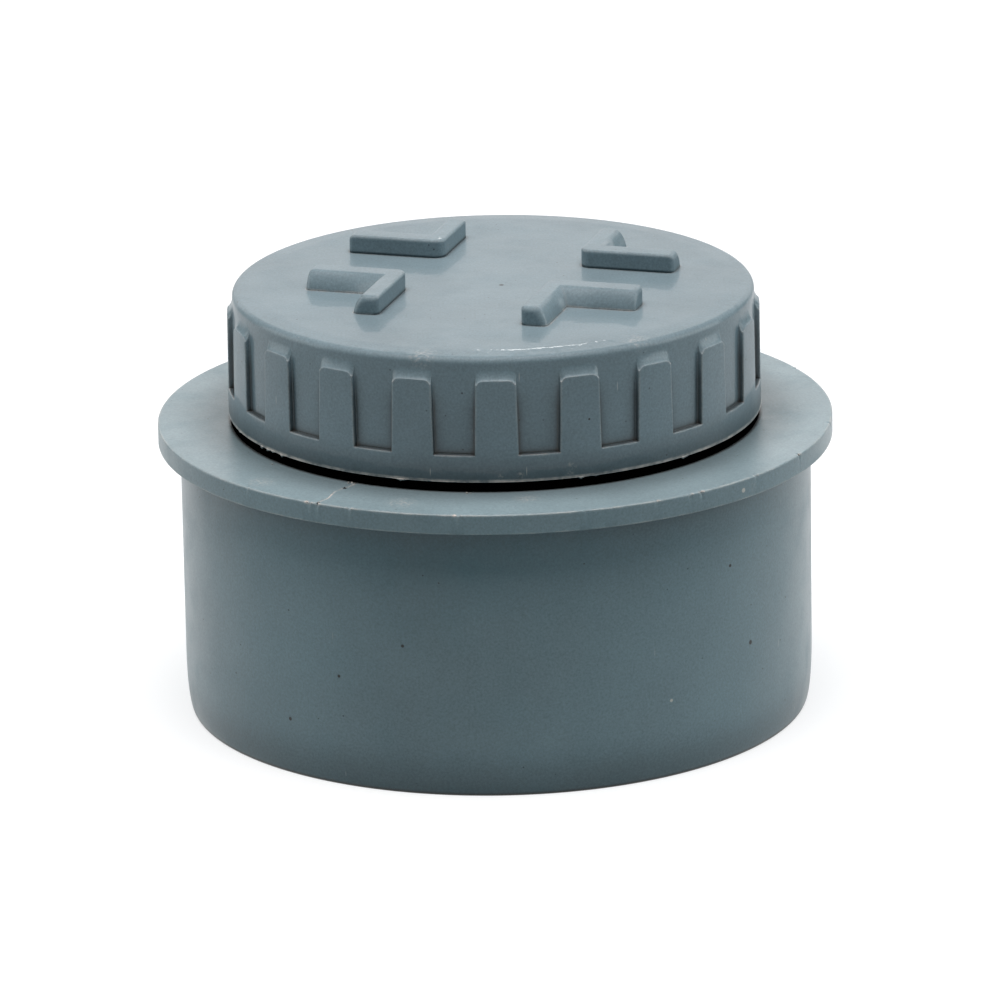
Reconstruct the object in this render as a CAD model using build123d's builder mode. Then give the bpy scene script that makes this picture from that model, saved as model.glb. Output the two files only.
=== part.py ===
import math
import os

from build123d import *

# Screwed access plug for 110 mm drain pipe: spigot body, sealing ring and screw cap.
# Millimetres, +Z up. The origin is the centre of the spigot's open end.
# X runs to the right and Y to the back, as seen by someone standing in front of the plug.

# Spigot, the plain tube that goes into a pipe socket
spigot_radius = 55.0
spigot_wall = 3.2
spigot_length = 48.0
lead_in_length = 10.0
lead_in_depth = 1.0

# Stop flange, which stands out past the spigot and whose top face falls slightly towards its rim
flange_overhang = 3.8
flange_rim_thickness = 3.5
flange_top_fall = 0.1
rim_round = 0.25

# Web inside the flange, and the neck that stands on it
web_thickness = 3.4
inner_round = 1.5
neck_outer_radius = 41.4
neck_wall = 3.0
neck_chamfer = 0.8

# Coarse right-hand thread between neck and cap
thread_pitch = 5.0
ridge_height = 1.6
ridge_root_width = 2.4
ridge_crest_width = 1.2
ridge_embedment = 0.5
neck_thread_turns = 2.25
cap_thread_turns = 2.0
thread_radial_gap = 0.4
thread_flank_gap = 0.3
thread_end_margin = 0.5

# Sealing ring between flange and cap
ring_thickness = 1.75
ring_inset = 0.3
ring_neck_gap = 0.5

# Screw cap. Its skirt's thickness is the one at its foot, outside the thread's clearance.
# The top falls a little over the shoulder, before the round that leads down to the skirt.
skirt_thickness = 3.0
cap_height = 21.85
cap_top_thickness = 3.2
cap_shoulder_width = 4.2
cap_shoulder_fall = 0.3
cap_top_round = 0.7
cap_rim_chamfer = 0.3
neck_headroom = 1.5

# Grip pads round the cap, with windows between them
pad_count = 20
first_pad_angle = -89.75
pad_face_draft = 0.5
window_floor_draft = 0.3
window_depth = 0.95
window_ledge_rise = 4.7
window_bottom_width = 6.9
window_top_width = 7.5
pad_rise = 17.85
pad_slope_rise = 1.6

# L-shaped lugs on the cap. They are laid out along u and v, which are X and Y turned by lug_turn.
lug_turn = -16.7
lug_height = 3.25
lug_corner_round = 2.0
lug_embedment = 0.5
u_arm_top_width = 3.6
u_arm_foot_width = 5.7
v_arm_top_width = 2.9
v_arm_foot_width = 4.75
channel_side = 12.5
channel_back = 12.3
channel_front = -6.3
reach_side = 29.5
reach_back = 27.0
reach_front = -24.2

# Heights and radii that follow from the sizes above
flange_radius = spigot_radius + flange_overhang
flange_rim_top = spigot_length + flange_rim_thickness
seat_height = flange_rim_top + flange_top_fall
web_underside = seat_height - web_thickness
spigot_bore_radius = spigot_radius - spigot_wall
neck_bore_radius = neck_outer_radius - neck_wall
cap_bottom = seat_height + ring_thickness
cap_top = cap_bottom + cap_height
cap_underside = cap_top - cap_top_thickness
neck_top = cap_underside - neck_headroom
cap_bore_radius = neck_outer_radius + ridge_height + thread_radial_gap
cap_bottom_radius = cap_bore_radius + skirt_thickness
window_ledge = cap_bottom + window_ledge_rise
pad_top = cap_bottom + pad_rise
pad_slope_top = pad_top + pad_slope_rise
pad_pitch = 360 / pad_count

# Both threads start on +X. The cap's ridge lies under the neck's ridge, one flank gap below it.
ridge_flare = (ridge_root_width - ridge_crest_width) / 2 / ridge_height
ridge_spacing = ridge_root_width - ridge_flare * (ridge_height + thread_radial_gap) + thread_flank_gap
cap_thread_start = cap_bottom + thread_end_margin + ridge_root_width / 2
neck_thread_start = cap_thread_start + ridge_spacing


def pad_face(height):
    """Radius of the pads' outer face, and of the band below them."""
    return cap_bottom_radius - (height - cap_bottom) * math.tan(math.radians(pad_face_draft))


def window_floor(height):
    """Radius of the windows' floor, which carries on above the pads to the cap's top."""
    deepest = pad_face(window_ledge) - window_depth
    return deepest - (height - window_ledge) * math.tan(math.radians(window_floor_draft))


def upright_plane(angle):
    """Plane through the plug's axis, with x outward at an angle and y up."""
    turn = math.radians(angle)
    outward = (math.cos(turn), math.sin(turn), 0)
    sideways = (math.sin(turn), -math.cos(turn), 0)
    return Plane(origin=(0, 0, 0), x_dir=outward, z_dir=sideways)


def ridge_section(outward):
    """Outline of a thread ridge: x from the wall it stands on, y along the plug's axis."""
    half_foot = ridge_root_width / 2 + ridge_flare * ridge_embedment
    half_crest = ridge_crest_width / 2
    foot = -outward * ridge_embedment
    crest = outward * ridge_height
    return [(foot, -half_foot), (crest, -half_crest), (crest, half_crest), (foot, half_foot)]


# Spigot body: spigot, flange, web and neck in one moulding
with BuildPart() as spigot_body:
    with BuildSketch(Plane.XZ):
        with BuildLine():
            lead_in = EllipticalCenterArc(
                (spigot_radius - lead_in_depth, lead_in_length),
                lead_in_depth,
                lead_in_length,
                start_angle=270,
                arc_size=90,
            )
            Polyline(
                lead_in @ 1,
                (spigot_radius, spigot_length),
                (flange_radius, spigot_length),
                (flange_radius, flange_rim_top),
                (cap_bottom_radius, seat_height),
                (neck_outer_radius, seat_height),
                (neck_outer_radius, neck_top - neck_chamfer),
                (neck_outer_radius - neck_chamfer, neck_top),
                (neck_bore_radius, neck_top),
                (neck_bore_radius, web_underside),
                (spigot_bore_radius, web_underside),
                (spigot_bore_radius, 0),
                lead_in @ 0,
            )
        make_face()
    revolve(axis=Axis.Z)
    circles = spigot_body.edges().filter_by(GeomType.CIRCLE)
    fillet(circles.filter_by(lambda edge: abs(edge.radius - flange_radius) < 0.01), radius=rim_round)
    bore_circles = circles.filter_by(lambda edge: abs(edge.radius - spigot_bore_radius) < 0.01)
    fillet(bore_circles.sort_by(Axis.Z)[-1], radius=inner_round)

    # The neck's thread
    neck_thread_length = neck_thread_turns * thread_pitch
    with BuildLine() as neck_helix:
        Helix(thread_pitch, neck_thread_length, neck_outer_radius, center=(0, 0, neck_thread_start))
    neck_path = neck_helix.line
    with BuildSketch(Plane(neck_path @ 0, x_dir=(1, 0, 0), z_dir=neck_path % 0)):
        with BuildLine():
            Polyline(*ridge_section(1), close=True)
        make_face()
    sweep(path=neck_path, is_frenet=True)

# Sealing ring: flat rubber ring round the foot of the neck
with BuildPart() as sealing_ring:
    with BuildSketch(Plane.XY.offset(seat_height)):
        Circle(cap_bottom_radius - ring_inset)
        Circle(neck_outer_radius + ring_neck_gap, mode=Mode.SUBTRACT)
    extrude(amount=ring_thickness)

# Cutter for one window: all that lies outside the window's floor, between two pads
window_outside = cap_bottom_radius + 2
with BuildPart() as window_cutter:
    with BuildSketch(upright_plane(-pad_pitch / 2)):
        with BuildLine():
            Polyline(
                (window_floor(window_ledge), window_ledge),
                (window_outside, window_ledge),
                (window_outside, pad_slope_top),
                (window_floor(pad_slope_top), pad_slope_top),
                close=True,
            )
        make_face()
    revolve(axis=Axis.Z, revolution_arc=pad_pitch)
    with BuildSketch(Plane.YZ):
        with BuildLine():
            Polyline(
                (-window_bottom_width / 2, window_ledge),
                (window_bottom_width / 2, window_ledge),
                (window_top_width / 2, pad_slope_top),
                (-window_top_width / 2, pad_slope_top),
                close=True,
            )
        make_face()
    extrude(amount=window_outside, mode=Mode.INTERSECT)

# One lug for each corner of the channels' crossing
u_axis = Vector(1, 0, 0).rotate(Axis.Z, lug_turn)
v_axis = Vector(0, 1, 0).rotate(Axis.Z, lug_turn)
up_axis = Vector(0, 0, 1)


def make_lug(side, channel, reach):
    """A lug to the left (side -1) or right (side 1): one arm along u and one along v out to the reach."""
    away = math.copysign(1, channel)
    corner = u_axis * (side * channel_side) + v_axis * channel + up_axis * cap_top
    u_arm_length = reach_side - channel_side
    v_arm_length = abs(reach - channel)
    u_arm = (v_axis * away, u_axis * away, u_arm_top_width, u_arm_foot_width, side * away * u_arm_length)
    v_arm = (u_axis * side, v_axis * -side, v_arm_top_width, v_arm_foot_width, -side * away * v_arm_length)
    with BuildPart() as lug:
        for across, along, top_width, foot_width, length in (u_arm, v_arm):
            # A wall up from the channel, a flat top, and a quarter round down to the foot
            with BuildSketch(Plane(corner, x_dir=across, z_dir=along)):
                with BuildLine():
                    Polyline(
                        (foot_width, 0),
                        (foot_width, -lug_embedment),
                        (0, -lug_embedment),
                        (0, lug_height),
                        (top_width, lug_height),
                    )
                    EllipticalCenterArc((top_width, 0), foot_width - top_width, lug_height)
                make_face()
            extrude(amount=length)
        uprights = lug.edges().filter_by(Axis.Z).sort_by(lambda edge: (edge.center() - corner).length)
        fillet(uprights[0], radius=lug_corner_round)
    return lug.part


lugs = [
    make_lug(side, channel, reach)
    for side in (-1, 1)
    for channel, reach in ((channel_back, reach_back), (channel_front, reach_front))
]

# Outer edge of the cap's shoulder, above the windows' floor
shoulder_height = cap_top - cap_shoulder_fall
shoulder_radius = window_floor(shoulder_height)

# Screw cap: grip skirt, top, lugs and internal thread in one moulding
with BuildPart() as screw_cap:
    with BuildSketch(Plane.XZ):
        with BuildLine():
            Polyline(
                (0, cap_top),
                (shoulder_radius - cap_shoulder_width, cap_top),
                (shoulder_radius, shoulder_height),
                (window_floor(pad_slope_top), pad_slope_top),
                (pad_face(pad_top), pad_top),
                (cap_bottom_radius, cap_bottom),
                (cap_bore_radius, cap_bottom),
                (cap_bore_radius, cap_underside),
                (0, cap_underside),
                close=True,
            )
        make_face()
    revolve(axis=Axis.Z)
    rims = screw_cap.edges().filter_by(GeomType.CIRCLE)
    fillet(rims.filter_by(lambda edge: abs(edge.radius - shoulder_radius) < 0.01), radius=cap_top_round)
    chamfer(rims.filter_by(lambda edge: abs(edge.radius - cap_bottom_radius) < 0.01), length=cap_rim_chamfer)
    with PolarLocations(0, pad_count, start_angle=first_pad_angle + pad_pitch / 2):
        add(window_cutter.part, mode=Mode.SUBTRACT)
    add(lugs)

    # The cap's thread
    cap_thread_length = cap_thread_turns * thread_pitch
    with BuildLine() as cap_helix:
        Helix(thread_pitch, cap_thread_length, cap_bore_radius, center=(0, 0, cap_thread_start))
    cap_path = cap_helix.line
    with BuildSketch(Plane(cap_path @ 0, x_dir=(1, 0, 0), z_dir=cap_path % 0)):
        with BuildLine():
            Polyline(*ridge_section(-1), close=True)
        make_face()
    sweep(path=cap_path, is_frenet=True)

# One file for each piece
os.makedirs("parts", exist_ok=True)
for name, piece in (
    ("spigot_body", spigot_body.part),
    ("sealing_ring", sealing_ring.part),
    ("screw_cap", screw_cap.part),
):
    piece.label = name
    export_step(piece, f"parts/{name}.step")
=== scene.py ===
import math
import random

import bmesh
import bpy
from mathutils import Matrix, Vector, noise


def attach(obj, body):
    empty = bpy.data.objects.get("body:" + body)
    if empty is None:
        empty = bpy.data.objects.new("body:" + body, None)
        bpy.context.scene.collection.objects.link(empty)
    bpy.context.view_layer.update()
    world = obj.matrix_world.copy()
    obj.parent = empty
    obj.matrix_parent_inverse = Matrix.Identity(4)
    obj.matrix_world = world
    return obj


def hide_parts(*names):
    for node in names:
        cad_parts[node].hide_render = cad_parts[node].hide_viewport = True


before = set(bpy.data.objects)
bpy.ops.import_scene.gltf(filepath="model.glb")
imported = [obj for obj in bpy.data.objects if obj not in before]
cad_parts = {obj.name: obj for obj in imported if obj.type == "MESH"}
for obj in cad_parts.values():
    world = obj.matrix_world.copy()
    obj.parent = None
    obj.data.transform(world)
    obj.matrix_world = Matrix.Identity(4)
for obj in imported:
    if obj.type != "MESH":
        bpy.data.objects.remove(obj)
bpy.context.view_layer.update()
mm = 0.001
print("frame loaded")

# Camera at the photograph's angle. Place in mm, angles in degrees.
camera = {
    "place": (0.6, -1328.05, 457.0),
    "downTilt": 17.607,
    "roll": -0.991,
    "lens": 286.6,
    "sensor": 36.0,
}


def makeCamera():
    data = bpy.data.cameras.new("viewCamera")
    data.lens = camera["lens"]
    data.sensor_width = camera["sensor"]
    data.clip_end = 20
    cam = bpy.data.objects.new("viewCamera", data)
    bpy.context.scene.collection.objects.link(cam)
    tilt = math.radians(90 - camera["downTilt"])
    turn = Matrix.Rotation(tilt, 4, "X") @ Matrix.Rotation(math.radians(camera["roll"]), 4, "Z")
    cam.matrix_world = Matrix.Translation(Vector(camera["place"]) * mm) @ turn
    bpy.context.scene.camera = cam


# Studio: soft boxes round the plug, all sizes in metres, brightness in W
studio = {
    "floorSize": 8.0,
    "floorColor": (0.27, 0.335, 0.365),
    "floorGlow": 0.62,  # keeps the floor white and the plug's shadow on it faint
    "floorRoughness": 0.9,
    "floorSpecular": 0.1,
    "worldColor": (0.5, 0.93, 1.0),
    "worldStrength": 0.155,
    "lookAt": (0, 0, 0.05),
    "softBoxes": {
        "topBox": {
            "place": (0, -0.17, 1.5),
            "size": (1.5, 1.1),
            "power": 59,
            "color": (1.0, 0.76, 0.695),
        },
        "backBox": {
            "place": (0, 2.2, 0.62),
            "size": (3.0, 1.0),
            "power": 10.4,
            "color": (1.0, 0.9, 0.88),
        },
        "leftBox": {
            "place": (-1.9, 0.3, 0.6),
            "size": (1.6, 1.2),
            "power": 10.5,
            "color": (1.0, 0.99, 0.97),
        },
        "rightBox": {
            "place": (1.9, 0.1, 0.6),
            "size": (1.6, 1.2),
            "power": 14.5,
            "color": (0.98, 0.99, 0.98),
        },
        "glintBox": {
            "place": (0.02, 1.0, 0.5),
            "size": (0.044, 0.045),
            "power": 0.06,
            "color": (1.0, 0.98, 0.95),
        },
    },
    "glossOnly": "glintBox",  # only shows as a bright line along the cap's shoulder
    "diffuseOnly": "topBox",  # lights the plug, but isn't mirrored in its shoulder
}


def makeStudio():
    scene = bpy.context.scene
    scene.view_settings.view_transform = "Standard"
    world = bpy.data.worlds.new("studioWorld")
    world.use_nodes = True
    background = world.node_tree.nodes["Background"]
    background.inputs["Color"].default_value = (*studio["worldColor"], 1)
    background.inputs["Strength"].default_value = studio["worldStrength"]
    scene.world = world
    for name, box in studio["softBoxes"].items():
        light = bpy.data.lights.new(name, "AREA")
        light.shape = "RECTANGLE"
        light.size, light.size_y = box["size"]
        light.energy = box["power"]
        light.color = box["color"]
        lamp = bpy.data.objects.new(name, light)
        lamp.location = box["place"]
        aim = Vector(studio["lookAt"]) - Vector(box["place"])
        lamp.rotation_euler = aim.to_track_quat("-Z", "Y").to_euler()
        lamp.visible_diffuse = name != studio["glossOnly"]
        lamp.visible_glossy = name != studio["diffuseOnly"]
        scene.collection.objects.link(lamp)
    half = studio["floorSize"] / 2
    mesh = bpy.data.meshes.new("floor")
    corners = [(-half, -half, 0), (half, -half, 0), (half, half, 0), (-half, half, 0)]
    mesh.from_pydata(corners, [], [(0, 1, 2, 3)])
    floor = bpy.data.objects.new("floor", mesh)
    scene.collection.objects.link(floor)
    paint = bpy.data.materials.new("floorPaint")
    paint.use_nodes = True
    shader = paint.node_tree.nodes["Principled BSDF"]
    shader.inputs["Base Color"].default_value = (*studio["floorColor"], 1)
    shader.inputs["Emission Color"].default_value = (1, 1, 1, 1)
    shader.inputs["Emission Strength"].default_value = studio["floorGlow"]
    shader.inputs["Roughness"].default_value = studio["floorRoughness"]
    shader.inputs["Specular IOR Level"].default_value = studio["floorSpecular"]
    mesh.materials.append(paint)
    floor.visible_diffuse = False  # the world gives the fill from below, weaker than a white floor would


makeCamera()
makeStudio()
print("camera and studio ready")


# Mesh tools. Shapes are worked out in mm and scaled when their points are made.
def addRings(bm, rings, closed=False):
    # Joins rings of points by faces, and the last ring to the first if closed
    made = [[bm.verts.new(Vector(point) * mm) for point in ring] for ring in rings]
    pairs = list(zip(made, made[1:]))
    if closed:
        pairs.append((made[-1], made[0]))
    for low, high in pairs:
        for i, corner in enumerate(low):
            j = (i + 1) % len(low)
            bm.faces.new((corner, low[j], high[j], high[i]))
    return made


def roundCorners(corners, steps=4, closed=True):
    # Turns each (radius, height, rounding) corner of an outline into an arc
    points = []
    for i, (r, z, rounding) in enumerate(corners):
        here = Vector((r, z))
        if rounding == 0 or (not closed and i in (0, len(corners) - 1)):
            points.append(here)
            continue
        before = (Vector(corners[i - 1][:2]) - here).normalized()
        after = (Vector(corners[(i + 1) % len(corners)][:2]) - here).normalized()
        half = before.angle(after) / 2
        centre = here + (before + after).normalized() * rounding / math.sin(half)
        start = here + before * rounding / math.tan(half) - centre
        end = here + after * rounding / math.tan(half) - centre
        for step in range(steps + 1):
            points.append(centre + start.normalized().slerp(end.normalized(), step / steps) * rounding)
    return points


def finishPiece(bm, name, material, body, node):
    bmesh.ops.recalc_face_normals(bm, faces=bm.faces)
    mesh = bpy.data.meshes.new(name)
    bm.to_mesh(mesh)
    bm.free()
    mesh.shade_smooth()
    mesh.materials.append(material)
    piece = bpy.data.objects.new(name, mesh)
    bpy.context.scene.collection.objects.link(piece)
    normals = piece.modifiers.new("flatFaces", "WEIGHTED_NORMAL")
    normals.weight = 90
    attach(piece, body)
    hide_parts(node)
    return piece


def polar(radius, angle, height):
    return (radius * math.cos(angle), radius * math.sin(angle), height)


# Coarse thread that neck and cap share. endHeight is the share of its height that is left where it fades out.
thread = {
    "pitch": 5.0,
    "height": 1.6,
    "rootWidth": 2.4,
    "crestWidth": 1.2,
    "sunk": 0.4,
    "stepsPerTurn": 120,
    "fadeSteps": 6,
    "endHeight": 0.15,
}


def addThread(bm, wall, outward, start, turns):
    # A ridge along a helix that sinks into its wall, and fades out at both ends
    rings = []
    count = round(turns * thread["stepsPerTurn"])
    for step in range(count + 1):
        turn = step / thread["stepsPerTurn"]
        fade = min(1, min(step, count - step) / thread["fadeSteps"] + thread["endHeight"])
        middle = start + turn * thread["pitch"]
        root, crest = thread["rootWidth"] / 2, thread["crestWidth"] / 2
        tip = wall + outward * thread["height"] * fade
        sunk = wall - outward * thread["sunk"]
        outline = [(sunk, -root), (wall, -root), (tip, -crest), (tip, crest), (wall, root), (sunk, root)]
        rings.append([polar(r, turn * 2 * math.pi, middle + z) for r, z in outline])
    made = addRings(bm, rings)
    bm.faces.new(made[0])
    bm.faces.new(made[-1])


# Crumbs of flash
chip = {
    "stretch": (0.6, 1.4),
    "turn": (0, 6.28),
    "lumpScale": 2.3,
    "lumpDepth": 0.5,
}


def addChip(bm, place, size, dice):
    # A rough crumb of plastic that sits half in the surface
    made = bmesh.ops.create_icosphere(bm, subdivisions=2, radius=1)["verts"]
    stretch = [size * dice.uniform(*chip["stretch"]) for axis in range(3)]
    turn = Matrix.Rotation(dice.uniform(*chip["turn"]), 3, "Z")
    for vert in made:
        rough = 1 + chip["lumpDepth"] * noise.noise(vert.co * chip["lumpScale"] + Vector(place))
        local = turn @ Vector([vert.co[axis] * stretch[axis] * rough for axis in range(3)])
        vert.co = (Vector(place) + local) * mm


def addRidge(bm, points, line, dice):
    # A thin uneven weld line along points that lie on a surface facing up
    rings = []
    under = Vector((0, 0, -line["sunk"]))
    for i, point in enumerate(points):
        here = Vector(point)
        ahead = Vector(points[min(i + 1, len(points) - 1)]) - Vector(points[max(i - 1, 0)])
        across = Vector((-ahead.y, ahead.x, 0)).normalized()
        shift = across * dice.uniform(-line["waver"], line["waver"])
        half = across * line["width"] / 2 * dice.uniform(*line["widthSpread"])
        crest = Vector((0, 0, line["height"] * dice.uniform(*line["heightSpread"])))
        rings.append([here + shift - half + under, here + shift + crest, here + shift + half + under])
    made = addRings(bm, rings)
    bm.faces.new(made[0])
    bm.faces.new(made[-1])


# Materials. Spacings, reaches, depths, places and sizes are in mm. mottle, grain, waveBump and shade are
# (spacing or reach, amount); shade is painted shade that darkens recesses.
capPlastic = {
    "color": (0.1, 0.163, 0.196),
    "roughness": 0.46,
    "smudgeRoughness": 0.1,
    "specular": 0.4,
    "coat": 0.3,
    "coatRoughness": 0.03,
    "mottle": (22, 0.1),
    "grain": (0.42, 0.16),
    "grainBump": 0.22,
    "waveBump": (4, 0.25),
    "dirtAndShadeReach": 0.9,
    "dirtAndShadeAmount": 0.95,
    "shade": (8, 0.6),
    "edgeReach": 0.42,
    "edgeAmount": 0.7,
    "specks": 3.6,
    "scratchTurn": (0.5, 0.3, 0.9),
    "spots": [
        {"place": (15.9, -43.5, 63.4), "size": 0.22, "pale": False},
        {"place": (-5.5, -45.2, 68.8), "size": 0.3, "pale": False},
        {"place": (-22.3, -40.5, 65.9), "size": 0.25, "pale": False},
        {"place": (1.5, -1.8, 75.2), "size": 0.5, "pale": False},
        {"place": (22.2, -18.1, 75.8), "size": 0.5, "pale": False},
    ],
    "scuffs": [
        {"place": (12.6, -44.6, 55.0), "size": 1.5},
        {"place": (4.2, -46.2, 54.6), "size": 0.8},
        {"place": (0.8, -46.4, 54.5), "size": 0.6},
        {"place": (-12.0, -42.0, 74.6), "size": 3.0},
        {"place": (24.0, -36.0, 74.8), "size": 3.0},
    ],
}
bodyPlastic = {
    "color": (0.124, 0.201, 0.235),
    "roughness": 0.31,
    "smudgeRoughness": 0.12,
    "specular": 0.42,
    "coat": 0.0,
    "coatRoughness": 0.06,
    "mottle": (28, 0.1),
    "grain": (0.42, 0.16),
    "grainBump": 0.4,
    "waveBump": (9, 0.1),
    "dirtAndShadeReach": 1.0,
    "dirtAndShadeAmount": 0.9,
    "shade": (9, 0.3),
    "edgeReach": 0.42,
    "edgeAmount": 0.8,
    "specks": 4.0,
    "scratchTurn": (0.1, 0.25, 0.2),
    "spots": [
        # painted shade: this first spot darkens a crumb of flash and the flange round it, standing in for a
        # pinhole
        {"place": (-25.7, -42.4, 51.57), "size": 0.45, "pale": False},
        {"place": (43.1, -34.1, 20.0), "size": 0.5, "pale": False},
        {"place": (-35.9, -41.7, 10.2), "size": 0.42, "pale": False},
        {"place": (39.6, -38.1, 35.2), "size": 0.35, "pale": False},
        {"place": (-16.3, -52.5, 26.6), "size": 0.35, "pale": False},
        {"place": (-27.3, -47.8, 19.8), "size": 0.35, "pale": False},
        {"place": (29.2, -46.6, 14.0), "size": 0.35, "pale": True},
        {"place": (41.9, -41.2, 49.6), "size": 0.5, "pale": True},
    ],
    "scuffs": [
        {"place": (5.0, -50.0, 51.55), "size": 2.6},
        {"place": (-16.0, -51.0, 51.55), "size": 3.2},
        {"place": (44.0, -40.0, 49.5), "size": 1.4},
        {"place": (-40.0, -38.0, 51.55), "size": 3.0},
    ],
}

# What both plastics share: wear and dirt, and painted shade and highlights. Each Range gives the value where
# its effect starts and the one where it is full, each Noise gives detail and roughness.
wearAndPaintedLight = {
    "dirtAndShadeColor": (0.02, 0.02, 0.018),
    "edgeColor": (0.4, 0.425, 0.41),
    "speckColor": (0.008, 0.009, 0.009),
    "cloudNoise": (4.0, 0.55),
    "fineNoise": (3.0, 0.7),
    "toneRange": (0.3, 0.7),
    "shadeTop": (66, 70),  # between these heights the painted shade, and the crease dirt with its painted shade, fade on the way up to the open top
    "shadeRange": (1.0, 0.7),
    "dirtAndShadeRange": (0.86, 0.52),
    "dirtAndShadeOnTop": 0.5,
    "edgeRange": (0.93, 0.6),
    "creaseRange": (0.6, 0.8),
    "patchSpacing": 3.5,
    "patchRange": (0.38, 0.62),
    "patchLeast": 0.2,
    "speckRange": (0.05, 0.025),
    "speckAmount": 0.75,
    "scratchSpacing": 2.6,
    "scratchStretch": (1, 1, 0.12),
    "scratchRange": (0.045, 0.02),
    "scratchAmount": 0.4,
    "spotEdge": 0.6,
    "scuffSpacing": 0.6,
    "scuffCore": 0.2,
    "scuffRange": (0.48, 0.68),
    "scuffAmount": 0.45,
    "smudgeSpacing": 9,
    "smudgeNoise": (5.0, 0.65),
    "smudgeRange": (0.45, 0.75),
    "grainDepth": 0.03,
    "waveDepth": 0.3,
}
# Rubber of the sealing ring, a real black ring, but painted darker than rubber and without any reflection as
# painted shade in the gap under the cap
rubberAndGapShade = {
    "color": (0.0005, 0.0005, 0.0005),
    "roughness": 0.8,
    "specular": 0.0,
}


def addNode(tree, kind, inputs=None, **settings):
    node = tree.nodes.new("ShaderNode" + kind)
    for key, value in settings.items():
        setattr(node, key, value)
    for key, value in (inputs or {}).items():
        socket = node.inputs[key]
        if isinstance(value, bpy.types.NodeSocket):
            tree.links.new(value, socket)
        else:
            socket.default_value = value
    return node


def addNoise(tree, place, spacing, detail=2.0, roughness=0.55):
    settings = {"Vector": place, "Scale": 1 / (spacing * mm), "Detail": detail, "Roughness": roughness}
    return addNode(tree, "TexNoise", settings).outputs[0]


def addCells(tree, place, spacing):
    settings = {"Vector": place, "Scale": 1 / (spacing * mm), "Randomness": 1.0}
    return addNode(tree, "TexVoronoi", settings).outputs["Distance"]


def addRange(tree, value, low, high, toLow=0.0, toHigh=1.0):
    settings = {"Value": value, "From Min": low, "From Max": high, "To Min": toLow, "To Max": toHigh}
    return addNode(tree, "MapRange", settings).outputs[0]


def addMath(tree, operation, *values):
    return addNode(tree, "Math", dict(enumerate(values)), operation=operation).outputs[0]


def addOcclusion(tree, reach, inside=False):
    return addNode(tree, "AmbientOcclusion", {"Distance": reach * mm}, samples=8, inside=inside).outputs["AO"]


def addAway(tree, place, target):
    ends = {0: place, 1: Vector(target) * mm}
    return addNode(tree, "VectorMath", ends, operation="DISTANCE").outputs["Value"]


def addMix(tree, share, first, second, blend="MIX"):
    mix = addNode(tree, "Mix", data_type="RGBA", blend_type=blend)
    for index, value in ((0, share), (6, first), (7, second)):
        if isinstance(value, bpy.types.NodeSocket):
            tree.links.new(value, mix.inputs[index])
        else:
            mix.inputs[index].default_value = (*value, 1) if index else value
    return mix.outputs[2]


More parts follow.
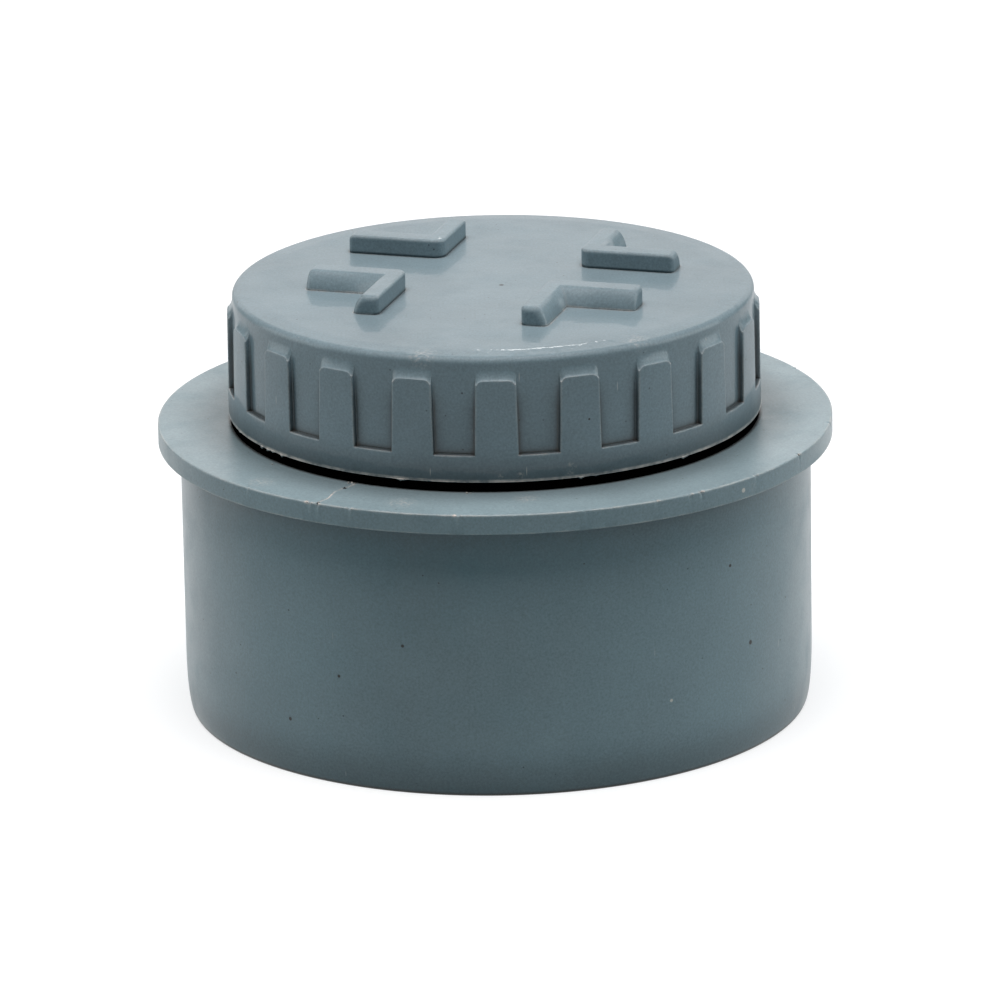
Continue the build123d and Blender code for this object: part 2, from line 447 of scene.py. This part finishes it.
def makePvc(name, look):
    w = wearAndPaintedLight
    material = bpy.data.materials.new(name)
    material.use_nodes = True
    tree = material.node_tree
    shader = tree.nodes["Principled BSDF"]
    place = addNode(tree, "TexCoord").outputs["Object"]

    # Broad cloudiness, the fine grain of the moulded skin, and painted shade that darkens recesses below the
    # open top
    spacing, amount = look["mottle"]
    cloud = addNoise(tree, place, spacing, *w["cloudNoise"])
    cloudTone = addRange(tree, cloud, *w["toneRange"], 1 - amount, 1 + amount)
    spacing, amount = look["grain"]
    grain = addNoise(tree, place, spacing, *w["fineNoise"])
    grainTone = addRange(tree, grain, *w["toneRange"], 1 - amount, 1 + amount)
    tone = addMath(tree, "MULTIPLY", cloudTone, grainTone)
    height = addNode(tree, "SeparateXYZ", {0: place}).outputs["Z"]
    low, high = w["shadeTop"]
    below = addRange(tree, height, low * mm, high * mm, 1.0, 0.0)
    reach, amount = look["shade"]
    recessShade = addRange(tree, addOcclusion(tree, reach), *w["shadeRange"])
    recessShade = addMath(tree, "MULTIPLY", recessShade, below)
    tone = addMath(tree, "MULTIPLY", tone, addRange(tree, recessShade, 0.0, 1.0, 1.0, 1 - amount))
    grey = addNode(tree, "CombineColor", {0: tone, 1: tone, 2: tone}).outputs[0]
    color = addMix(tree, 1.0, look["color"], grey, "MULTIPLY")

    # Dirt and painted shade that darken the creases, less of both on the open top
    crease = addOcclusion(tree, look["dirtAndShadeReach"])
    dirtAndShade = addMath(tree, "MULTIPLY", addRange(tree, crease, *w["dirtAndShadeRange"]), look["dirtAndShadeAmount"])
    dirtAndShade = addMath(tree, "MULTIPLY", dirtAndShade, addRange(tree, below, 0.0, 1.0, w["dirtAndShadeOnTop"], 1.0))
    color = addMix(tree, dirtAndShade, color, w["dirtAndShadeColor"])

    # Sharp edges painted pale, partly as rubbed wear and partly as painted highlight, here more and there
    # less, but not where two faces meet in a crease
    edge = addRange(tree, addOcclusion(tree, look["edgeReach"], inside=True), *w["edgeRange"])
    patches = addNoise(tree, place, w["patchSpacing"], *w["fineNoise"])
    patchy = addRange(tree, patches, *w["patchRange"], w["patchLeast"], 1.0)
    rubbedAndHighlight = addMath(tree, "MULTIPLY", addMath(tree, "MULTIPLY", edge, patchy), look["edgeAmount"])
    rubbedAndHighlight = addMath(tree, "MULTIPLY", rubbedAndHighlight, addRange(tree, crease, *w["creaseRange"]))
    color = addMix(tree, rubbedAndHighlight, color, w["edgeColor"])

    # Dark specks and short pale scratches in the skin
    speck = addRange(tree, addCells(tree, place, look["specks"]), *w["speckRange"])
    speck = addMath(tree, "MULTIPLY", speck, w["speckAmount"])
    color = addMix(tree, speck, color, w["speckColor"])
    settings = {"Vector": place, "Rotation": look["scratchTurn"], "Scale": w["scratchStretch"]}
    turned = addNode(tree, "Mapping", settings).outputs[0]
    scratch = addRange(tree, addCells(tree, turned, w["scratchSpacing"]), *w["scratchRange"])
    color = addMix(tree, addMath(tree, "MULTIPLY", scratch, w["scratchAmount"]), color, w["edgeColor"])

    # Single spots and scuffed patches
    ragged = addRange(tree, addNoise(tree, place, w["scuffSpacing"], *w["fineNoise"]), *w["scuffRange"])
    for spot in look["spots"]:
        away = addAway(tree, place, spot["place"])
        near = addRange(tree, away, spot["size"] * mm, spot["size"] * w["spotEdge"] * mm)
        color = addMix(tree, near, color, w["edgeColor"] if spot["pale"] else w["speckColor"])
    for scuff in look["scuffs"]:
        away = addAway(tree, place, scuff["place"])
        near = addRange(tree, away, scuff["size"] * mm, scuff["size"] * w["scuffCore"] * mm)
        patch = addMath(tree, "MULTIPLY", near, ragged)
        color = addMix(tree, addMath(tree, "MULTIPLY", patch, w["scuffAmount"]), color, w["edgeColor"])
    tree.links.new(color, shader.inputs["Base Color"])

    # Uneven gloss under a thin glossy skin
    smudge = addNoise(tree, place, w["smudgeSpacing"], *w["smudgeNoise"])
    smudge = addRange(tree, smudge, *w["smudgeRange"])
    roughness = addMath(tree, "MULTIPLY_ADD", smudge, look["smudgeRoughness"], look["roughness"])
    tree.links.new(roughness, shader.inputs["Roughness"])
    shader.inputs["Specular IOR Level"].default_value = look["specular"]
    shader.inputs["Coat Weight"].default_value = look["coat"]
    shader.inputs["Coat Roughness"].default_value = look["coatRoughness"]

    # Skin texture and slight waviness; the glossy skin over it has the waviness alone
    settings = {"Height": grain, "Strength": look["grainBump"], "Distance": w["grainDepth"] * mm}
    fine = addNode(tree, "Bump", settings)
    spacing, amount = look["waveBump"]
    settings = {"Height": addNoise(tree, place, spacing), "Strength": amount, "Distance": w["waveDepth"] * mm}
    wave = addNode(tree, "Bump", settings)
    skin = addNode(tree, "Bump", {**settings, "Normal": fine.outputs[0]})
    tree.links.new(skin.outputs[0], shader.inputs["Normal"])
    tree.links.new(wave.outputs[0], shader.inputs["Coat Normal"])
    return material


def makeRubber(name):
    material = bpy.data.materials.new(name)
    material.use_nodes = True
    shader = material.node_tree.nodes["Principled BSDF"]
    shader.inputs["Base Color"].default_value = (*rubberAndGapShade["color"], 1)
    shader.inputs["Roughness"].default_value = rubberAndGapShade["roughness"]
    shader.inputs["Specular IOR Level"].default_value = rubberAndGapShade["specular"]
    return material


capPvc = makePvc("capPvc", capPlastic)
bodyPvc = makePvc("bodyPvc", bodyPlastic)
rubberAndGapShadeMaterial = makeRubber("rubberAndGapShadeMaterial")
print("materials ready")

# Spigot body. Nicks are (angle, depth), chips (angle, radius, size).
spigot = {
    "radius": 55.0,
    "bore": 51.8,
    "length": 48.0,
    "leadIn": (1.0, 10.0),  # depth and length
    "leadSteps": 12,
    "flangeRadius": 58.8,
    "rimTop": 51.5,
    "seatRadius": 46.4,
    "seat": 51.6,
    "webUnderside": 48.2,
    "neckRadius": 41.4,
    "neckBore": 38.4,
    "neckTop": 70.5,
    "neckChamfer": 0.8,
    "threadStart": 57.0,
    "threadTurns": 2.25,
    "columns": 480,
    "nickStep": 0.11,
    "nick": {
        "reach": 1.5,
        "width": 0.3,
        "jag": (0.75, 0.5),
        "lip": 0.35,
        "lipPlace": 0.55,
        "lipWidth": 0.25,
        "drop": 0.7,
    },
    "rimChip": {
        "from": 0.2,
        "spread": 0.9,
        "inward": 0.25,
        "down": 0.12,
        "size": 0.17,
        "sizeSpread": (0.7, 1.3),
    },
    "gapChipSize": 0.7,
    "rimNicks": [(-136.1, 0.2), (-122.6, 0.3), (-121.0, 0.35), (-115.0, 0.3), (-96.4, 0.22), (-75.3, 0.15)]
    + [(-70.9, 0.12), (-62.7, 0.22), (-56.2, 0.3), (-53.9, 0.3), (-41.3, 0.25), (-27.8, 0.3), (-9.0, 0.2)]
    + [(24.0, 0.2), (61.5, 0.25), (97.0, 0.2), (128.0, 0.3)],
    "gapChips": [(-121.7, 46.5, 0.34), (-122.3, 46.9, 0.26), (-96.1, 46.8, 0.3), (-95.3, 46.9, 0.2)]
    + [(-143.6, 47.5, 0.22), (66.0, 47.0, 0.3), (-121.2, 49.58, 0.3)],
    "weldLine": {
        "angle": -121.2,
        "from": 46.3,
        "to": 58.4,
        "bend": (0.4, 0.7),
        "width": 0.15,
        "widthSpread": (0.6, 1.3),
        "height": 0.05,
        "heightSpread": (0.4, 1.3),
        "waver": 0.08,
        "sunk": 0.05,
        "steps": 16,
    },
    "seed": 11,
}


def flangeTop(radius):
    # Height of the flange's top, which falls a little from the ring's seat to the rim
    s = spigot
    fall = (s["seat"] - s["rimTop"]) * (radius - s["seatRadius"])
    return s["seat"] - fall / (s["flangeRadius"] - s["seatRadius"])


def nickDepth(degree, r, z):
    # How far a nick or dent in the flange's top edge pushes a point in, and its raised lip out
    s = spigot
    nick = s["nick"]
    least, spread = nick["jag"]
    cut = 0
    for angle, depth in s["rimNicks"]:
        off = (degree - angle + 180) % 360 - 180
        if abs(off) < nick["reach"]:
            jag = least + spread * noise.noise(Vector((degree * 9, r, z * 3)))
            dent = math.exp(-(off / nick["width"]) ** 2)
            lip = nick["lip"] * math.exp(-((off - nick["lipPlace"]) / nick["lipWidth"]) ** 2)
            cut += depth * jag * (dent - lip)
    return cut * max(0, 1 - math.hypot(r - s["flangeRadius"], z - s["rimTop"]))


def makeSpigotBody():
    s = spigot
    dice = random.Random(s["seed"])
    depth, rise = s["leadIn"]
    rim = s["flangeRadius"]

    # Outline from the spigot's wall over flange, seat and neck to its inside: (radius, height, rounding)
    corners = [(s["radius"], s["length"], 0.3), (rim, s["length"], 0.15)]
    corners += [(rim, s["rimTop"] - drop, 0) for drop in (1.0, 0.5)] + [(rim, s["rimTop"], 0.24)]
    corners += [(rim - inward, flangeTop(rim - inward), 0) for inward in (0.5, 1.0)]
    corners += [(s["seatRadius"], s["seat"], 0.2), (s["neckRadius"], s["seat"], 0.5)]
    corners += [(s["neckRadius"], s["neckTop"] - s["neckChamfer"], 0.2)]
    corners += [(s["neckRadius"] - s["neckChamfer"], s["neckTop"], 0.2), (s["neckBore"], s["neckTop"], 0.3)]
    corners += [(s["neckBore"], s["webUnderside"], 0.4), (s["bore"], s["webUnderside"], 1.5)]
    corners += [(s["bore"], 0, 0.3)]
    for step in range(s["leadSteps"] + 1):
        angle = math.radians(-90 + 90 / s["leadSteps"] * step)
        corners.append((s["radius"] - depth + depth * math.cos(angle), rise + rise * math.sin(angle), 0))
    outline = roundCorners(corners)
    bm = bmesh.new()

    # Columns all round, with finer ones at each nick
    degrees = {round(360 * i / s["columns"], 3) for i in range(s["columns"])}
    for angle, size in s["rimNicks"]:
        degrees |= {round((angle + step * s["nickStep"]) % 360, 3) for step in range(-9, 10)}
    drop = s["nick"]["drop"]
    rings = []
    for r, z in outline:
        cuts = [(degree, nickDepth(degree, r, z)) for degree in sorted(degrees)]
        rings.append([polar(r - cut, math.radians(degree), z - cut * drop) for degree, cut in cuts])
    addRings(bm, rings, closed=True)
    addThread(bm, s["neckRadius"], 1, s["threadStart"], s["threadTurns"])

    # The weld line across the flange, and crumbs of flash
    line = s["weldLine"]
    radii = [line["from"] + (line["to"] - line["from"]) * i / line["steps"] for i in range(line["steps"] + 1)]
    swing, rate = line["bend"]
    points = [polar(r, math.radians(line["angle"] + swing * math.sin(r * rate)), flangeTop(r)) for r in radii]
    addRidge(bm, points, line, dice)
    crumb = s["rimChip"]
    for angle, depth in s["rimNicks"]:
        if depth > crumb["from"]:
            side = math.radians(angle + dice.uniform(-crumb["spread"], crumb["spread"]))
            size = crumb["size"] * dice.uniform(*crumb["sizeSpread"])
            addChip(bm, polar(rim - crumb["inward"], side, s["rimTop"] - crumb["down"]), size, dice)
    for angle, radius, size in s["gapChips"]:
        addChip(bm, polar(radius, math.radians(angle), flangeTop(radius)), size * s["gapChipSize"], dice)
    return finishPiece(bm, "spigotBody", bodyPvc, "plug", "spigot_body")


spigotBody = makeSpigotBody()
print("spigot body ready")

# Sealing ring
seal = {
    "outer": 46.1,
    "inner": 41.9,
    "bottom": 51.6,
    "top": 53.35,
    "rounding": 0.3,
    "columns": 360,
}


def makeSealingRing():
    s = seal
    square = [(s["outer"], s["bottom"]), (s["outer"], s["top"])]
    square += [(s["inner"], s["top"]), (s["inner"], s["bottom"])]
    outline = roundCorners([(r, z, s["rounding"]) for r, z in square])
    bm = bmesh.new()
    angles = [2 * math.pi * i / s["columns"] for i in range(s["columns"])]
    addRings(bm, [[polar(r, angle, z) for angle in angles] for r, z in outline], closed=True)
    return finishPiece(bm, "sealingRing", rubberAndGapShadeMaterial, "ring", "sealing_ring")


sealingRing = makeSealingRing()
print("sealing ring ready")

# Screw cap with its grip pads. Burrs of flash are (angle, size).
cap = {
    "bottom": 53.35,
    "top": 75.2,
    "underside": 72.0,
    "bore": 43.4,
    "bottomRadius": 46.4,
    "padDraft": 0.5,
    "floorDraft": 0.3,
    "windowDepth": 0.95,
    "ledge": 58.05,
    "padTop": 71.2,
    "padLip": 0.16,
    "slopeTop": 72.8,
    "hollow": 0.4,
    "shoulder": (4.2, 0.3),  # how far it goes in, and how far it falls
    "shoulderRound": 1.2,
    "shoulderBlend": 16,
    "flatTop": 30,
    "bandRow": 55,
    "windowTop": 66,
    "windowRows": (59.5, 62, 65),
    "lipRows": (1.7, 0.9, 0.45, 0.25),
    "slopeSteps": 7,
    "rowGap": 0.006,
    "topRings": (37, 32, 26, 20, 12, 5),
    "undersideRings": (5, 20, 36),
    "pads": 20,
    "firstPad": -89.75,
    "windowWidths": (6.9, 7.5),  # at the ledge and at the slope's top
    "windowLevels": (-0.4, 1.3),
    "padShares": (0, 0.35, 0.6, 0.75, 0.86, 0.94),
    "windowShares": (0.12, 0.4, 0.75),
    "edgeRound": 0.26,
    "footRound": 0.1,
    "roundShare": 0.45,  # no round takes more than this share of a pad's step
    "leastAngle": 0.001,
    "footGap": 0.0006,
    "cornerDrop": 0.7,
    "cornerShare": 0.4,
    "dropStart": 68.0,
    "flash": {
        "width": 0.045,
        "waver": 0.05,
        "fineWaver": 0.6,
        "least": 0.03,
        "root": 0.3,
        "top": 0.11,
        "tip": 0.8,
        "bottom": (0.01, 0.02),
        "spacings": (9, 60),
    },
    "flashColumns": 1080,
    "burr": {
        "width": 0.5,
        "jag": 0.8,
        "outward": 0.5,
        "spacing": 240,
    },
    "flashBurrs": [(-161.4, 0.15), (-149.6, 0.35), (-147.0, 0.4), (-145.2, 0.2), (-141.8, 0.3), (-110.6, 0.2)]
    + [(-109.8, 0.16), (-72.0, 0.3), (-68.6, 0.12), (-46.6, 0.25), (-45.6, 0.2), (15.0, 0.3), (88.0, 0.3)]
    + [(143.0, 0.25)],
    "threadStart": 55.05,
    "threadTurns": 2.0,
}


def padFace(z):
    return cap["bottomRadius"] - (z - cap["bottom"]) * math.tan(math.radians(cap["padDraft"]))


def windowFloor(z):
    deepest = padFace(cap["ledge"]) - cap["windowDepth"]
    return deepest - (z - cap["ledge"]) * math.tan(math.radians(cap["floorDraft"]))


def capRows():
    # From the foot to the top's edge. Each row gives (radius, height) on a pad and the same in a window.
    c = cap
    ledge, lip, low = c["ledge"], c["padLip"], c["bandRow"]
    band = [(c["bore"], c["bottom"], 0), (c["bottomRadius"], c["bottom"], 0.22), (padFace(ledge), ledge, 0)]
    rows = [((r, z), (r, z)) for r, z in roundCorners(band, closed=False)[1:-1]]
    rows.append(((padFace(low), low), (padFace(low), low)))
    step = [(padFace(low), low, 0), (padFace(ledge), ledge, c["edgeRound"])]
    step += [(windowFloor(ledge), ledge, c["footRound"]), (windowFloor(c["windowTop"]), c["windowTop"], 0)]
    step = roundCorners(step, closed=False)[1:-1]
    for i, (r, z) in enumerate(step):
        zPad = max(z, step[0][1]) + c["rowGap"] * i
        rows.append(((padFace(zPad), zPad), (r, z)))
    for z in (*c["windowRows"], c["dropStart"]):
        rows.append(((padFace(z), z), (windowFloor(z), z)))

    # The slope above a pad is slightly hollow: flatter at the pad's lip and steeper where it meets the wall
    outer, inner = padFace(c["padTop"]) - lip, windowFloor(c["slopeTop"])
    slope = [(padFace(c["padTop"] - drop), c["padTop"] - drop) for drop in c["lipRows"]]
    for step in range(1, 5):
        turn = math.radians(step * 18)
        slope.append((outer + lip * math.cos(turn), c["padTop"] - lip + lip * math.sin(turn)))
    for step in range(1, c["slopeSteps"] + 1):
        share = step / c["slopeSteps"]
        turn = math.pi / 2 * share
        inward = share + (math.sin(turn) - share) * c["hollow"]
        upward = share + (1 - math.cos(turn) - share) * c["hollow"]
        slope.append((outer - (outer - inner) * inward, c["padTop"] + (c["slopeTop"] - c["padTop"]) * upward))
    rows += [((r, z), (windowFloor(z), z)) for r, z in slope]

    # Over the shoulder on to the top
    across, down = c["shoulder"]
    wall, edge = c["slopeTop"] + 0.3, windowFloor(c["top"] - down)
    shoulder = [(windowFloor(wall), wall, 0), (edge, c["top"] - down, c["shoulderRound"])]
    shoulder += [(edge - across, c["top"], c["shoulderBlend"]), (c["flatTop"], c["top"], 0)]
    shoulder = roundCorners(shoulder, steps=8, closed=False)[:-1]
    rows += [((r, z), (r, z)) for r, z in shoulder]
    return rows


def padColumns():
    # Across one pad and half a window each side: (kind, share of the way across that kind)
    half = [("pad", share) for share in cap["padShares"]]
    half += [("edge", i / 4) for i in range(5)]
    half += [("foot", i / 4) for i in range(5)]
    half += [("window", share) for share in cap["windowShares"]]
    return half


def capPoint(column, side, row, pad):
    # Place of one grid point: column from padColumns, side -1 or 1 of the pad, row from capRows
    c = cap
    (rPad, zPad), (rWin, zWin) = row
    low, high = c["windowWidths"]
    lowest, highest = c["windowLevels"]
    level = (zPad - c["ledge"]) / (c["slopeTop"] - c["ledge"])
    halfWindow = (low + (high - low) * min(highest, max(lowest, level))) / 2
    halfPitch = math.pi / c["pads"]
    middle = c["bottomRadius"] - c["windowDepth"]
    wallAngle = halfPitch - math.asin(halfWindow / middle)
    step = math.hypot(rPad - rWin, zPad - zWin)
    most, least = c["roundShare"], c["leastAngle"]
    edgeShare = min(most, c["edgeRound"] / max(step, 0.01))
    edge = max(min(c["edgeRound"], step * most) / middle, least)
    foot = max(min(c["footRound"], step * most) / middle, least)
    kind, share = column
    turn = share * math.pi / 2
    if kind == "pad":
        angle, mask = share * (wallAngle - edge), 1
    elif kind == "edge":
        angle = wallAngle - edge + edge * math.sin(turn)
        mask = 1 - edgeShare * (1 - math.cos(turn))
    elif kind == "foot":
        angle = wallAngle + foot - foot * math.cos(turn) + c["footGap"]
        mask = edgeShare * (1 - math.sin(turn))
    else:
        start = wallAngle + foot
        angle, mask = start + share * (halfPitch - start), 0
    r = rWin + (rPad - rWin) * mask
    z = zWin + (zPad - zWin) * mask

    # The pad's top corners are well rounded
    if c["dropStart"] < zPad <= c["slopeTop"] + 0.001:
        fade = min((zPad - c["dropStart"]) / (c["padTop"] - c["padLip"] - c["dropStart"]), 1)
        inward = max(0, share - (1 - c["cornerShare"])) / c["cornerShare"]
        corner = {"pad": inward, "edge": 1, "foot": 1, "window": 0}[kind]
        droop = 1 - math.sqrt(1 - corner ** 2)
        z -= c["cornerDrop"] * fade * droop * (1 - share if kind == "foot" else 1)
    centre = math.radians(c["firstPad"]) + pad * 2 * halfPitch
    return polar(r, centre + side * angle, z)


def addFlash(bm):
    # A paper-thin lip of flash round the cap's foot, with burrs that hang into the gap
    c = cap
    flash, burr = c["flash"], c["burr"]
    rim, waver = c["bottomRadius"], flash["waver"]
    broad, fine = flash["spacings"]
    outerRise, innerRise = flash["bottom"]
    rings = [[], [], [], []]
    for step in range(c["flashColumns"]):
        degree = step / (c["flashColumns"] / 360)
        angle = math.radians(degree)
        around = Vector(polar(1, angle, 0))
        w = flash["width"] + waver * noise.noise(around * broad)
        w = w + waver * flash["fineWaver"] * noise.noise(around * fine)
        drop = 0
        for place, size in c["flashBurrs"]:
            off = (degree - place + 180) % 360 - 180
            bump = size * math.exp(-(off / burr["width"]) ** 2)
            bump = bump * (1 + burr["jag"] * noise.noise(around * burr["spacing"]))
            w += bump * burr["outward"]
            drop += bump
        w = max(flash["least"], w)
        rings[0].append(polar(rim - flash["root"], angle, c["bottom"] + flash["root"]))
        rings[1].append(polar(rim + w, angle, c["bottom"] + flash["top"]))
        rings[2].append(polar(rim + w * flash["tip"], angle, c["bottom"] + outerRise - drop))
        rings[3].append(polar(rim - flash["root"], angle, c["bottom"] + innerRise))
    addRings(bm, rings, closed=True)


# L-shaped lugs on the cap. u and v are X and Y turned by the lugs' turn. Each corner is where two arms meet,
# and uArm and vArm are an arm's widths at its top and at its foot.
lugs = {
    "turn": -16.7,
    "height": 3.25,
    "cornerRound": 2.0,
    "topRound": 0.5,
    "endRound": 1.0,
    "sunk": 0.4,
    "bulge": 0.68,
    "uArm": (3.4, 5.7),
    "vArm": (2.75, 4.7),
    "armRow": 0.6,
    "weld": 0.0001,  # points nearer to each other than this are joined
    "corners": [
        {"corner": (-12.75, 12.2), "ends": (-30.1, 27.2)},
        {"corner": (-13.35, -6.4), "ends": (-30.35, -24.1)},
        {"corner": (12.05, -6.2), "ends": (28.9, -24.3)},
        {"corner": (12.0, 12.4), "ends": (29.0, 27.5)},
    ],
}


def lugSection():
    # Round the arm from under the channel wall over the top to under the foot: (part, value, height). The
    # value is a wall's inset or a round's turn in degrees, which gives its height too. The foot has none.
    s = lugs
    h, top, sunk = s["height"], s["topRound"], s["sunk"]
    section = [("wall", 0, -sunk), ("wall", 0, 0.5), ("wall", 0, h - top - 0.2)]
    for step in range(5):
        turn = step * math.pi / 8
        section.append(("wall", top - top * math.cos(turn), h - top + top * math.sin(turn)))
    section.append(("round", 90, 0))
    for step in range(1, 10):
        section.append(("round", 90 - step * 10, 0))
    section.append(("foot", 0, -sunk))
    return section


def addLug(bm, lug):
    s = lugs
    h, bend = s["height"], s["cornerRound"]
    cornerU, cornerV = lug["corner"]
    endU, endV = lug["ends"]
    signU, signV = math.copysign(1, cornerU), math.copysign(1, cornerV)
    lengthU, lengthV = abs(endU - cornerU), abs(endV - cornerV)
    nose = [s["endRound"] * (1 - math.cos(step * math.pi / 10)) for step in range(6)]
    clear = s["endRound"]  # this far from an end and more, an arm has its full size

    # Sections along the lug: (part of the way, place or turn, distance from the end)
    stations = [("u", lengthU - d, d) for d in nose] + [("u", lengthU * s["armRow"], clear)]
    stations += [("bend", step * math.pi / 16, clear) for step in range(9)]
    stations += [("v", lengthV * s["armRow"], clear)] + [("v", lengthV - d, d) for d in reversed(nose)]
    turn = math.radians(s["turn"])
    rings = []
    for kind, along, fromEnd in stations:
        near = max(0, s["endRound"] - fromEnd)
        inset = s["endRound"] - math.sqrt(s["endRound"] ** 2 - near ** 2)
        ring = []
        for part, value, level in lugSection():
            topU, footU = s["uArm"]
            topV, footV = s["vArm"]
            if part == "wall":
                wide = (value + inset, value + inset)
                z = level if level <= 0 else level * (h - inset) / h
            elif part == "round":
                e = math.radians(value)
                swell = s["bulge"] * math.cos(e) + (1 - s["bulge"]) * (1 - math.sin(e))
                wide = (topU + (footU - topU) * swell - inset, topV + (footV - topV) * swell - inset)
                z = (h - inset) * math.sin(e)
            else:
                wide = (footU - inset, footV - inset)
                z = level
            if kind == "u":
                a, b = along, wide[0]
            elif kind == "v":
                a, b = wide[1], along
            elif part == "wall":
                reach = bend - value
                a, b = bend - reach * math.sin(along), bend - reach * math.cos(along)
            else:
                a, b = wide[1], wide[0]
            u = cornerU + signU * a
            v = cornerV + signV * b
            x = u * math.cos(turn) - v * math.sin(turn)
            y = u * math.sin(turn) + v * math.cos(turn)
            ring.append((x, y, cap["top"] + z))
        rings.append(ring)
    made = addRings(bm, rings)
    bm.faces.new(made[0])
    bm.faces.new(made[-1])
    bmesh.ops.remove_doubles(bm, verts=[vert for ring in made for vert in ring], dist=s["weld"] * mm)


def makeScrewCap():
    c = cap
    half = padColumns()
    columns = [(column, -1) for column in reversed(half[1:])] + [(column, 1) for column in half]
    columns.append((("window", 1), 1))
    rings = []
    for row in capRows():
        ring = []
        for pad in range(c["pads"]):
            ring += [capPoint(column, side, row, pad) for column, side in columns]
        rings.append(ring)
    angles = [math.atan2(y, x) for x, y, z in rings[-1]]
    for r in c["topRings"]:
        rings.append([polar(r, angle, c["top"]) for angle in angles])
    inside = [(0, c["underside"], 0), (c["bore"], c["underside"], 0.8)]
    inside += [(c["bore"], c["bottom"], 0.2), (46, c["bottom"], 0)]
    inside = [(r, c["underside"]) for r in c["undersideRings"]] + roundCorners(inside, closed=False)[1:-1]
    rings = [[polar(r, angle, z) for angle in angles] for r, z in inside] + rings
    bm = bmesh.new()
    made = addRings(bm, rings)
    bm.faces.new(made[0])
    bm.faces.new(made[-1])
    addThread(bm, c["bore"], -1, c["threadStart"], c["threadTurns"])
    addFlash(bm)
    for lug in lugs["corners"]:
        addLug(bm, lug)
    return finishPiece(bm, "screwCap", capPvc, "cap", "screw_cap")


screwCap = makeScrewCap()
print("screw cap ready")
